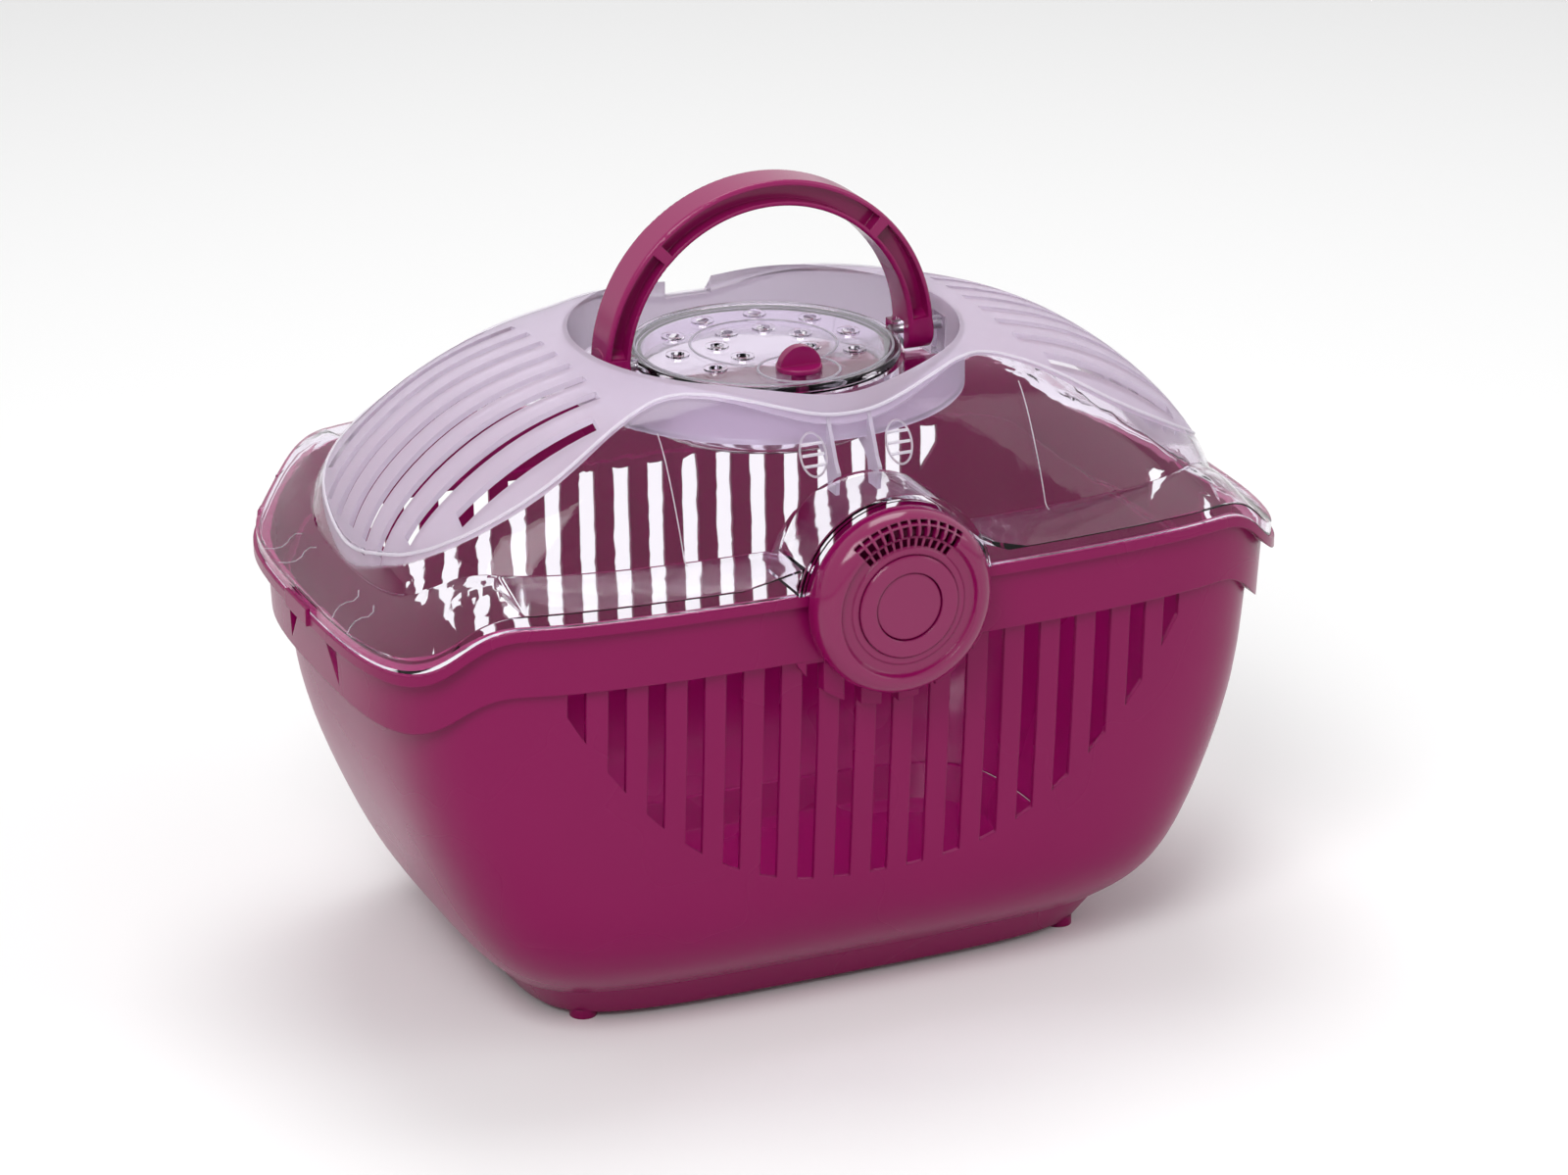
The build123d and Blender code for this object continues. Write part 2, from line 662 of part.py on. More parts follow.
# Clasp: a domed ring with a vent grille, turned about its own middle
clasp_front = clasp_back_y + clasp_depth
inner_front = clasp_front - 4.4
clasp_plane = Plane(origin=(0, 0, clasp_z), x_dir=(1, 0, 0), z_dir=(0, 0, -1))
clasp_axis = Axis((0, 0, clasp_z), (0, 1, 0))
face_gap = 0.3
face_front = clasp_front - 1.0
with BuildPart() as clasp_ring:
    with BuildSketch(clasp_plane):
        with BuildLine():
            Line((clasp_radius, clasp_back_y), (clasp_radius, clasp_back_y + 5))
            ThreePointArc((clasp_radius, clasp_back_y + 5),
                          (clasp_radius - 2.6, clasp_front - 4.0),
                          (clasp_radius - 8.5, clasp_front - 0.6))
            Polyline((clasp_radius - 8.5, clasp_front - 0.6), (clasp_radius - 10.5, clasp_front - 0.6),
                     (channel_radius, clasp_front - channel_depth),
                     (face_outer_radius + 4.0, clasp_front - channel_depth),
                     (face_outer_radius + 3.6, clasp_front - 2.4),
                     (face_outer_radius + face_gap, clasp_front - 2.4),
                     (face_outer_radius + face_gap, inner_front), (clasp_radius - 9, inner_front),
                     (clasp_radius - clasp_wall, clasp_back_y + 5),
                     (clasp_radius - clasp_wall, clasp_back_y), (clasp_radius, clasp_back_y))
        make_face()
    revolve(axis=clasp_axis)
    # bosses for the back plate's screws
    for angle in screw_angles:
        boss_x = screw_circle * math.cos(math.radians(angle))
        boss_z = clasp_z + screw_circle * math.sin(math.radians(angle))
        add(facing_disc(2.4 * screw_radius, -plate_front - 0.2, -inner_front - 0.3, boss_z, boss_x))
        add(facing_disc(screw_radius, -plate_front + 1, -plate_front - 6, boss_z, boss_x),
            mode=Mode.SUBTRACT)
    # vent grille in the upper part of the dome
    with BuildSketch(Plane.XZ.offset(clasp_back_y + 6)) as vents:
        for row_radius, cell_length, cell_width in grille_rows:
            for column in range(grille_columns):
                angle = 90 + (column - (grille_columns - 1) / 2) * grille_pitch
                with Locations((row_radius * math.cos(math.radians(angle)),
                                clasp_z + row_radius * math.sin(math.radians(angle)))):
                    Rectangle(cell_length, cell_width, rotation=angle)
    extrude(amount=clasp_depth, mode=Mode.SUBTRACT)
clasp_ring.part.label = "clasp_ring"
export_step(clasp_ring.part, "parts/clasp_ring.step")

with BuildPart() as clasp_face:
    with BuildSketch(clasp_plane):
        with BuildLine():
            Polyline((button_radius + face_gap, face_front),
                     (face_outer_radius - 0.6, face_front),
                     (face_outer_radius, face_front - 0.6),
                     (face_outer_radius, inner_front - face_gap),
                     (face_outer_radius + 3.5, inner_front - face_gap),
                     (face_outer_radius + 3.5, inner_front - 2.0),
                     (button_radius + 2.2, inner_front - 2.0),
                     (button_radius + 2.2, inner_front - 4.2),
                     (button_radius + face_gap, inner_front - 4.2),
                     (button_radius + face_gap, face_front))
        make_face()
    revolve(axis=clasp_axis)
clasp_face.part.label = "clasp_face"
export_step(clasp_face.part, "parts/clasp_face.step")

# Back plate with the lug that turns on the pin, and windows for the tub's ears and the bolt
with BuildPart() as clasp_back_plate:
    add(facing_disc(clasp_radius - clasp_wall - 0.3, -plate_back, -plate_front, clasp_z))
    for side in (-1, 1):
        add(block(min(side * (ear_in - 0.6), side * (ear_out + 0.6)),
                  max(side * (ear_in - 0.6), side * (ear_out + 0.6)),
                  -plate_front - 1, -plate_back + 1, clasp_z - clasp_radius,
                  clasp_pin_z + 9), mode=Mode.SUBTRACT)
    add(across(lug_radius, -lug_half_length, lug_half_length, -clasp_pin_y, clasp_pin_z))
    add(block(-lug_half_length, lug_half_length, -clasp_pin_y, -plate_back - 0.5,
              clasp_pin_z - lug_radius + 0.4, clasp_pin_z + lug_radius))
    add(across(clasp_pin_radius + running_gap, -far / 10, far / 10, -clasp_pin_y, clasp_pin_z),
        mode=Mode.SUBTRACT)
    add(block(-nose_half_width - 0.5, nose_half_width + 0.5, -plate_front - 1, -plate_back + 1,
              keeper_low - bolt_travel - 1, keeper_high + 6), mode=Mode.SUBTRACT)
    for angle in screw_angles:
        hole_x = screw_circle * math.cos(math.radians(angle))
        hole_z = clasp_z + screw_circle * math.sin(math.radians(angle))
        add(facing_disc(screw_radius + 0.1, -plate_back + 1, -plate_front - 1, hole_z, hole_x),
            mode=Mode.SUBTRACT)
        add(facing_disc(2 * screw_radius + 0.2, -plate_back + 1, -plate_back - 1.2, hole_z, hole_x),
            mode=Mode.SUBTRACT)
clasp_back_plate.part.label = "clasp_back_plate"
export_step(clasp_back_plate.part, "parts/clasp_back_plate.step")

with BuildPart() as clasp_screws:
    for angle in screw_angles:
        spot_x = screw_circle * math.cos(math.radians(angle))
        spot_z = clasp_z + screw_circle * math.sin(math.radians(angle))
        add(facing_disc(2 * screw_radius, -plate_back - 0.1, -plate_back - 1.2, spot_z, spot_x))
        add(facing_disc(screw_radius, -plate_back - 1.2, -plate_front - 5, spot_z, spot_x))
clasp_screws.part.label = "clasp_screws"
export_step(clasp_screws.part, "parts/clasp_screws.step")

# Push button, its spring and the bolt it draws down
button_front = face_front - 0.8
with BuildPart() as release_button:
    add(facing_disc(button_radius, -button_front + 2.2, -button_front, clasp_z))
    fillet(release_button.edges().group_by(Axis.Y)[0], radius=1.0)
    add(facing_disc(7.0, -inner_front + 5.4, -button_front + 1, clasp_z))
    add(facing_disc(spring_radius + 0.4, -inner_front + 6, -button_front + 2.4, clasp_z), mode=Mode.SUBTRACT)
release_button.part.label = "release_button"
export_step(release_button.part, "parts/release_button.step")

with BuildPart() as button_spring:
    add(facing_disc(spring_radius, -plate_front - 0.1, -button_front + 2.6 + button_travel, clasp_z))
    add(facing_disc(spring_radius - 0.8, -plate_front + 1, -button_front, clasp_z),
        mode=Mode.SUBTRACT)
button_spring.part.label = "button_spring"
export_step(button_spring.part, "parts/button_spring.step")

bolt_back = plate_front + 0.3
with BuildPart() as latch_bolt:
    add(block(-bolt_half_width, bolt_half_width, -bolt_back - bolt_thickness, -bolt_back,
              clasp_z + 8.0 + bolt_travel, keeper_high + 4.4))
    add(block(-nose_half_width, nose_half_width, -bolt_back - 0.5, -bulkhead - 3.0,
              keeper_high + 0.6, keeper_high + 4.4))
latch_bolt.part.label = "latch_bolt"
export_step(latch_bolt.part, "parts/latch_bolt.step")
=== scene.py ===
import math

import bmesh
import bpy
import numpy as np
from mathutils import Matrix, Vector
from mathutils.bvhtree import BVHTree


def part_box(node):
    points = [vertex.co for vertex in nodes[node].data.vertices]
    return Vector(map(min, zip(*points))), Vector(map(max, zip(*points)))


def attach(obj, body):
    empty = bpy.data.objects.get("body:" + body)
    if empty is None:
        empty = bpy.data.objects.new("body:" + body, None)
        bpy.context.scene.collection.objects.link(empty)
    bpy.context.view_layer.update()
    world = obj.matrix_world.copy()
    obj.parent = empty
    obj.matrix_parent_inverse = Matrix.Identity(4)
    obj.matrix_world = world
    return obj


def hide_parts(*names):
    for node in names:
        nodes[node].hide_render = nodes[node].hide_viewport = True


bl_info = {
    "name": "Pet carrier basket",
    "version": (1, 0, 0),
    "blender": (4, 5, 0),
    "location": "3D View > Sidebar > Carrier",
    "description": "Finishes, lid ribs and vents, and the studio of a pet carrier basket",
    "category": "Object",
}

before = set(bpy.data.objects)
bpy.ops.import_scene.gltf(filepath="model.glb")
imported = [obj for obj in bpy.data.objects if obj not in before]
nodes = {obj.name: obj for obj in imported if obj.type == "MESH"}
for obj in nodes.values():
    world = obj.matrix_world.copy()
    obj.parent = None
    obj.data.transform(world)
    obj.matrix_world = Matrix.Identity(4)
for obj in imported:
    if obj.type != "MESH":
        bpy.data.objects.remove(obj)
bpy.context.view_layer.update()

# Places on the lid that its finish and details are laid out from, in metres
RECESS_RADIUS = 0.099
FROST_LOWEST = 0.2275
SEAM_X = 0.097
VENT_X = 0.023
VENT_Z = 0.2945
VENT_HALF_WIDTH = 0.0068
VENT_HALF_HEIGHT = 0.0098
GUSSET_X = 0.011
RING_SINK = 0.0008
LINE_SINK = 0.0001

# Rays that look for the lid's surface start this far out, in metres
RAY_START_ABOVE = 0.45
RAY_START_SIDE = 0.4

# Strength of the frosting's veil over the clear plastic
FROST_SHARE = 0.4

TUB_NODES = ("tub", "clasp_back_plate", "latch_bolt")
CLASP_NODES = ("clasp_ring", "clasp_face", "release_button")
TRIM_NODES = ("handle", "turn_knob", "knob_tongue")
STEEL_NODES = ("lid_hinge_pins", "handle_pins", "clasp_pivot_pin", "clasp_screws", "button_spring",
               "knob_screw")


class CarrierFinish(bpy.types.PropertyGroup):
    """Colours of the carrier's mouldings."""

    tub_colour: bpy.props.FloatVectorProperty(
        name="Tub", description="Colour of the tub and the clasp", subtype="COLOR", size=3,
        min=0.0, max=1.0, default=(0.215, 0.002, 0.073))
    trim_colour: bpy.props.FloatVectorProperty(
        name="Handle", description="Colour of the handle and the turn knob", subtype="COLOR",
        size=3, min=0.0, max=1.0, default=(0.26, 0.003, 0.09))
    lid_colour: bpy.props.FloatVectorProperty(
        name="Lid", description="Tint of the clear lid", subtype="COLOR", size=3,
        min=0.0, max=1.0, default=(0.93, 0.89, 0.96))
    frost_colour: bpy.props.FloatVectorProperty(
        name="Frosting", description="Colour of the lid's frosted areas", subtype="COLOR", size=3,
        min=0.0, max=1.0, default=(0.63, 0.55, 0.66))
    floor_colour: bpy.props.FloatVectorProperty(
        name="Floor", description="Colour of the studio floor", subtype="COLOR", size=3,
        min=0.0, max=1.0, default=(0.93, 0.93, 0.93))


class CarrierSizes(bpy.types.PropertyGroup):
    """Sizes of the lid's ribs and vents."""

    gusset_thickness: bpy.props.FloatProperty(
        name="Gusset", description="Thickness of the two gussets behind the clasp's arch",
        unit="LENGTH", default=0.002, min=0.0008, max=0.01)
    step_radius: bpy.props.FloatProperty(
        name="Frosting edge", description="Radius of the rounded edge round the frosting",
        unit="LENGTH", default=0.0009, min=0.0002, max=0.01)
    line_radius: bpy.props.FloatProperty(
        name="Fine line", description="Radius of the fine lines of the moulding",
        unit="LENGTH", default=0.00035, min=0.0001, max=0.01)
    shoulder_drop: bpy.props.FloatProperty(
        name="Flange slope", description="How far the lid's flange falls to its outer edge",
        unit="LENGTH", default=0.007, min=0.0, max=0.01)
    vent_bars: bpy.props.IntProperty(
        name="Vent bars", description="Bars across each oval vent beside the clasp",
        default=3, min=1, max=8)


def finish():
    return bpy.context.scene.carrier_finish


def sizes():
    return bpy.context.scene.carrier_sizes


def shader(name):
    """A material, its node tree, its surface shader and its output."""
    material = bpy.data.materials.new(name)
    material.use_nodes = True
    tree = material.node_tree
    surface = tree.nodes["Principled BSDF"]
    return material, tree, surface, tree.nodes["Material Output"]


def add_node(tree, kind, label="", **values):
    """A node with its named inputs set."""
    node = tree.nodes.new(kind)
    node.label = label
    for name, value in values.items():
        node.inputs[name.replace("_", " ")].default_value = value
    return node


def maths(tree, operation, first, second=0.0, clamp=False):
    """A maths node; first and second are numbers or sockets."""
    node = tree.nodes.new("ShaderNodeMath")
    node.operation = operation
    node.use_clamp = clamp
    for socket, value in zip(node.inputs, (first, second)):
        if isinstance(value, (int, float)):
            socket.default_value = value
        else:
            tree.links.new(value, socket)
    return node.outputs[0]


def grain(tree, scale, strength, distance, detail=3.0):
    """Fine moulded texture as a bump on Object coordinates."""
    place = tree.nodes.new("ShaderNodeTexCoord")
    noise = add_node(tree, "ShaderNodeTexNoise", "mould grain", Scale=scale, Detail=detail,
                     Roughness=0.55)
    tree.links.new(place.outputs["Object"], noise.inputs["Vector"])
    bump = add_node(tree, "ShaderNodeBump", "grain", Strength=strength, Distance=distance)
    tree.links.new(noise.outputs["Fac"], bump.inputs["Height"])
    return place, noise, bump


def moulded_plastic(name, colour, roughness, edge, gloss):
    """Coloured satin moulding: slight flow marks, fine grain and a soft sheen."""
    material, tree, surface, _ = shader(name)
    place, _, bump = grain(tree, 900.0, 0.015, 0.0004)
    flow = add_node(tree, "ShaderNodeTexNoise", "flow marks", Scale=9.0, Detail=2.0)
    tree.links.new(place.outputs["Object"], flow.inputs["Vector"])
    tint = tree.nodes.new("ShaderNodeMix")
    tint.data_type = "RGBA"
    tint.inputs[6].default_value = (*[c * 0.92 for c in colour], 1.0)
    tint.inputs[7].default_value = (*[min(1.0, c * 1.08) for c in colour], 1.0)
    tree.links.new(flow.outputs["Fac"], tint.inputs[0])
    tree.links.new(tint.outputs[2], surface.inputs["Base Color"])
    rough = add_node(tree, "ShaderNodeMapRange", "roughness", To_Min=roughness - 0.03,
                     To_Max=roughness + 0.05)
    tree.links.new(flow.outputs["Fac"], rough.inputs["Value"])
    tree.links.new(rough.outputs[0], surface.inputs["Roughness"])
    tree.links.new(bump.outputs[0], surface.inputs["Normal"])
    soft_edge = tree.nodes.new("ShaderNodeBevel")
    soft_edge.inputs["Radius"].default_value = edge
    tree.links.new(soft_edge.outputs[0], bump.inputs["Normal"])
    surface.inputs["IOR"].default_value = 1.49
    surface.inputs["Specular IOR Level"].default_value = gloss
    return material


def clear_surface(tree, surface, output, colour):
    """Sets a shader up as clear plastic that lets light through to what is under it."""
    surface.inputs["Base Color"].default_value = (*colour, 1.0)
    surface.inputs["Transmission Weight"].default_value = 1.0
    surface.inputs["IOR"].default_value = 1.27
    surface.inputs["Specular IOR Level"].default_value = 0.6
    light_path = tree.nodes.new("ShaderNodeLightPath")
    see_through = tree.nodes.new("ShaderNodeBsdfTransparent")
    see_through.inputs["Color"].default_value = (*[0.86 * c for c in colour], 1.0)
    pick = tree.nodes.new("ShaderNodeMixShader")
    tree.links.new(light_path.outputs["Is Shadow Ray"], pick.inputs[0])
    tree.links.new(surface.outputs[0], pick.inputs[1])
    tree.links.new(see_through.outputs[0], pick.inputs[2])
    tree.links.new(pick.outputs[0], output.inputs["Surface"])
    return pick


def clear_plastic(name, colour, roughness=0.03):
    """Clear moulding with faint ripples."""
    material, tree, surface, output = shader(name)
    clear_surface(tree, surface, output, colour)
    _, noise, bump = grain(tree, 60.0, 0.12, 0.0008, 1.0)
    rough = add_node(tree, "ShaderNodeMapRange", "roughness", To_Min=roughness,
                     To_Max=roughness + 0.04)
    tree.links.new(noise.outputs["Fac"], rough.inputs["Value"])
    tree.links.new(rough.outputs[0], surface.inputs["Roughness"])
    tree.links.new(bump.outputs[0], surface.inputs["Normal"])
    return material


# Edge of the frosting seen from above: angle from the +X axis in degrees, radius in metres
FROST_EDGE = ((0.0, 0.2245), (12.0, 0.2245), (17.0, 0.2235), (22.0, 0.2165), (26.0, 0.203),
              (29.0, 0.188), (32.0, 0.172), (34.0, 0.158), (35.5, 0.145), (37.0, 0.130),
              (40.0, 0.118), (44.0, 0.111), (52.0, 0.107), (62.0, 0.106), (75.0, 0.105),
              (90.0, 0.1045))
FROST_REACH = 0.25


def frost_radius(degrees):
    """Distance of the frosting's edge from the lid's middle, at an angle, smoothed."""
    folded = abs((degrees + 90.0) % 180.0 - 90.0)
    near = np.abs(folded + np.linspace(-3.0, 3.0, 13))
    near = np.minimum(near, 180.0 - near)
    return float(np.mean(np.interp(near, *zip(*FROST_EDGE))))


def frosted_lid_plastic(name, colour, frost):
    """Clear moulding whose shoulders and recess band are frosted inside the edge above."""
    material, tree, surface, output = shader(name)
    place, _, bump = grain(tree, 60.0, 0.12, 0.0008, 1.0)
    parts = tree.nodes.new("ShaderNodeSeparateXYZ")
    tree.links.new(place.outputs["Object"], parts.inputs[0])
    x = maths(tree, "ABSOLUTE", parts.outputs[0])
    y = maths(tree, "ABSOLUTE", parts.outputs[1])
    angle = maths(tree, "DIVIDE", maths(tree, "ARCTAN2", y, x), math.pi / 2)
    squares = maths(tree, "ADD", maths(tree, "POWER", x, 2.0), maths(tree, "POWER", y, 2.0))
    radius = maths(tree, "SQRT", squares)
    curve = tree.nodes.new("ShaderNodeFloatCurve")
    line = curve.mapping.curves[0]
    points = [(a / 90.0, frost_radius(a) / FROST_REACH) for a in range(0, 91, 3)]
    line.points[0].location = points[0]
    line.points[1].location = points[-1]
    for spot in points[1:-1]:
        line.points.new(*spot)
    curve.mapping.update()
    tree.links.new(angle, curve.inputs["Value"])
    edge = maths(tree, "MULTIPLY", curve.outputs[0], FROST_REACH)
    inside = maths(tree, "MULTIPLY", maths(tree, "SUBTRACT", edge, radius), 1200.0, clamp=True)
    outside_recess = maths(tree, "GREATER_THAN", radius, RECESS_RADIUS - 0.0005)
    high = maths(tree, "GREATER_THAN", parts.outputs[2], FROST_LOWEST)
    mask = maths(tree, "MULTIPLY", maths(tree, "MULTIPLY", inside, outside_recess), high)
    clear_surface(tree, surface, output, colour)
    rough = add_node(tree, "ShaderNodeMapRange", "roughness", To_Min=0.03, To_Max=0.42)
    tree.links.new(mask, rough.inputs["Value"])
    tree.links.new(rough.outputs[0], surface.inputs["Roughness"])
    haze = tree.nodes.new("ShaderNodeBsdfDiffuse")
    haze.inputs["Color"].default_value = (*frost, 1.0)
    veil = tree.nodes.new("ShaderNodeMixShader")
    share = maths(tree, "MULTIPLY", mask, FROST_SHARE)
    tree.links.new(share, veil.inputs[0])
    picked = output.inputs["Surface"].links[0].from_socket
    tree.links.new(picked, veil.inputs[1])
    tree.links.new(haze.outputs[0], veil.inputs[2])
    tree.links.new(veil.outputs[0], output.inputs["Surface"])
    tree.links.new(bump.outputs[0], surface.inputs["Normal"])
    return material


def hazy_plastic(name, frost, share):
    """Frosted clear plastic for ribs and raised edges."""
    material, tree, surface, output = shader(name)
    clear_surface(tree, surface, output, frost)
    _, _, bump = grain(tree, 400.0, 0.1, 0.0004)
    surface.inputs["Roughness"].default_value = 0.3
    haze = tree.nodes.new("ShaderNodeBsdfDiffuse")
    haze.inputs["Color"].default_value = (*frost, 1.0)
    veil = tree.nodes.new("ShaderNodeMixShader")
    veil.inputs[0].default_value = share
    picked = output.inputs["Surface"].links[0].from_socket
    tree.links.new(picked, veil.inputs[1])
    tree.links.new(haze.outputs[0], veil.inputs[2])
    tree.links.new(veil.outputs[0], output.inputs["Surface"])
    tree.links.new(bump.outputs[0], surface.inputs["Normal"])
    return material


def drawn_steel(name):
    """Plain bright wire with fine draw lines."""
    material, tree, surface, _ = shader(name)
    _, noise, bump = grain(tree, 1500.0, 0.15, 0.0002)
    surface.inputs["Base Color"].default_value = (0.60, 0.60, 0.61, 1.0)
    surface.inputs["Metallic"].default_value = 1.0
    rough = add_node(tree, "ShaderNodeMapRange", "roughness", To_Min=0.22, To_Max=0.4)
    tree.links.new(noise.outputs["Fac"], rough.inputs["Value"])
    tree.links.new(rough.outputs[0], surface.inputs["Roughness"])
    tree.links.new(bump.outputs[0], surface.inputs["Normal"])
    return material


def dress(names, material):
    """Gives CAD nodes one material."""
    for name in names:
        node = nodes[name]
        node.data.materials.clear()
        node.data.materials.append(material)


def piece(name, mesh, material, body):
    """A finished piece that rides on a body."""
    made = bpy.data.objects.new(name, mesh)
    bpy.context.scene.collection.objects.link(made)
    made.data.materials.clear()
    made.data.materials.append(material)
    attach(made, body)
    return made


class CARRIER_OT_tub(bpy.types.Operator):
    """Finish the tub and the clasp's mouldings"""

    bl_idname = "carrier.tub"
    bl_label = "Tub and clasp"

    def execute(self, context):
        colour = finish().tub_colour
        dress(TUB_NODES, moulded_plastic("tub_plastic", colour, 0.26, 0.0012, 0.2))
        dress(CLASP_NODES, moulded_plastic("clasp_plastic", colour, 0.11, 0.0014, 0.5))
        return {"FINISHED"}


class CARRIER_OT_handle(bpy.types.Operator):
    """Finish the handle and the turn knob"""

    bl_idname = "carrier.handle"
    bl_label = "Handle and knob"

    def execute(self, context):
        colour = finish().trim_colour
        dress(TRIM_NODES, moulded_plastic("handle_plastic", colour, 0.18, 0.0008, 0.35))
        dress(STEEL_NODES, drawn_steel("wire_steel"))
        return {"FINISHED"}


class CARRIER_OT_lid(bpy.types.Operator):
    """Finish the clear lid, its tray and its cover"""

    bl_idname = "carrier.lid"
    bl_label = "Lid"

    def execute(self, context):
        colours = finish()
        plastic = frosted_lid_plastic("lid_plastic", colours.lid_colour, colours.frost_colour)
        dress(("lid",), plastic)
        shell = piece("lid_shell", shaped_lid(), plastic, "lid")
        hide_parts("lid")
        dress(("compartment_tray", "compartment_cover"),
              clear_plastic("clear_plastic", colours.lid_colour))
        return {"FINISHED"}


def ridge_tree():
    """Geometry nodes that run a round ridge along the edges of a path mesh."""
    tree = bpy.data.node_groups.new("moulded_ridge", "GeometryNodeTree")
    tree.interface.new_socket("Geometry", in_out="INPUT", socket_type="NodeSocketGeometry")
    for name, kind, default in (("Ridge radius", "NodeSocketFloat", 0.0008),
                                ("Sides", "NodeSocketInt", 8)):
        socket = tree.interface.new_socket(name, in_out="INPUT", socket_type=kind)
        socket.default_value = default
    tree.interface.new_socket("Material", in_out="INPUT", socket_type="NodeSocketMaterial")
    tree.interface.new_socket("Geometry", in_out="OUTPUT", socket_type="NodeSocketGeometry")
    given = tree.nodes.new("NodeGroupInput")
    made = tree.nodes.new("NodeGroupOutput")
    path = tree.nodes.new("GeometryNodeMeshToCurve")
    profile = tree.nodes.new("GeometryNodeCurvePrimitiveCircle")
    sweep = tree.nodes.new("GeometryNodeCurveToMesh")
    smooth = tree.nodes.new("GeometryNodeSetShadeSmooth")
    realize = tree.nodes.new("GeometryNodeRealizeInstances")
    paint = tree.nodes.new("GeometryNodeSetMaterial")
    sweep.inputs["Fill Caps"].default_value = True
    links = tree.links
    links.new(given.outputs["Geometry"], path.inputs[0])
    links.new(given.outputs["Ridge radius"], profile.inputs["Radius"])
    links.new(given.outputs["Sides"], profile.inputs["Resolution"])
    links.new(path.outputs[0], sweep.inputs["Curve"])
    links.new(profile.outputs[0], sweep.inputs["Profile Curve"])
    links.new(sweep.outputs[0], smooth.inputs[0])
    links.new(smooth.outputs[0], realize.inputs[0])
    links.new(realize.outputs[0], paint.inputs[0])
    links.new(given.outputs["Material"], paint.inputs["Material"])
    links.new(paint.outputs[0], made.inputs[0])
    return tree


def bar_tree():
    """Geometry nodes that set a small bar on every point of a mesh."""
    tree = bpy.data.node_groups.new("vent_bars", "GeometryNodeTree")
    tree.interface.new_socket("Geometry", in_out="INPUT", socket_type="NodeSocketGeometry")
    for name, default in (("Bar length", 0.012), ("Bar thickness", 0.0012), ("Slope", 0.0)):
        socket = tree.interface.new_socket(name, in_out="INPUT", socket_type="NodeSocketFloat")
        socket.default_value = default
    tree.interface.new_socket("Material", in_out="INPUT", socket_type="NodeSocketMaterial")
    tree.interface.new_socket("Geometry", in_out="OUTPUT", socket_type="NodeSocketGeometry")
    given = tree.nodes.new("NodeGroupInput")
    made = tree.nodes.new("NodeGroupOutput")
    size = tree.nodes.new("ShaderNodeCombineXYZ")
    turn = tree.nodes.new("ShaderNodeCombineXYZ")
    bar = tree.nodes.new("GeometryNodeMeshCube")
    place = tree.nodes.new("GeometryNodeInstanceOnPoints")
    realize = tree.nodes.new("GeometryNodeRealizeInstances")
    paint = tree.nodes.new("GeometryNodeSetMaterial")
    links = tree.links
    links.new(given.outputs["Bar length"], size.inputs[0])
    links.new(given.outputs["Bar thickness"], size.inputs[1])
    links.new(given.outputs["Bar thickness"], size.inputs[2])
    links.new(given.outputs["Slope"], turn.inputs[0])
    links.new(size.outputs[0], bar.inputs["Size"])
    links.new(given.outputs["Geometry"], place.inputs["Points"])
    links.new(bar.outputs[0], place.inputs["Instance"])
    links.new(turn.outputs[0], place.inputs["Rotation"])
    links.new(place.outputs[0], realize.inputs[0])
    links.new(realize.outputs[0], paint.inputs[0])
    links.new(given.outputs["Material"], paint.inputs["Material"])
    links.new(paint.outputs[0], made.inputs[0])
    return tree


def grown(name, mesh, tree, material, body, slot, **inputs):
    """The plain mesh that a geometry tree makes from a path or points, as a finished piece."""
    source = bpy.data.objects.new(name + "_path", mesh)
    bpy.context.scene.collection.objects.link(source)
    modifier = source.modifiers.new("grown", "NODES")
    modifier.node_group = tree
    sockets = {item.name: item.identifier for item in tree.interface.items_tree
               if item.item_type == "SOCKET" and item.in_out == "INPUT"}
    modifier[sockets["Material"]] = material
    for key, value in inputs.items():
        modifier[sockets[key.replace("_", " ")]] = value
    bpy.context.view_layer.update()
    seen = source.evaluated_get(bpy.context.evaluated_depsgraph_get())
    made = bpy.data.meshes.new_from_object(seen)
    made.name = name
    source.modifiers.clear()
    bpy.data.objects.remove(source)
    work = bmesh.new()
    work.from_mesh(made)
    bmesh.ops.remove_doubles(work, verts=work.verts, dist=1e-7)
    bmesh.ops.recalc_face_normals(work, faces=work.faces)
    work.to_mesh(made)
    work.free()
    return piece(name, made, material, body)


def paths_mesh(name, paths):
    """A mesh of edges only, one chain a path; each path is (points, closed)."""
    vertices, edges = [], []
    for points, closed in paths:
        first = len(vertices)
        vertices += [tuple(p) for p in points]
        edges += [(first + i, first + i + 1) for i in range(len(points) - 1)]
        if closed:
            edges.append((first + len(points) - 1, first))
    mesh = bpy.data.meshes.new(name)
    mesh.from_pydata(vertices, edges, [])
    return mesh


def rim_level(x):
    """Height of the tub's rim at a distance along X: level, then lower round the ends."""
    share = min(1.0, max(0.0, (abs(x) - 0.186) / 0.060))
    return 0.241 - 0.029 * share * share * (3.0 - 2.0 * share)


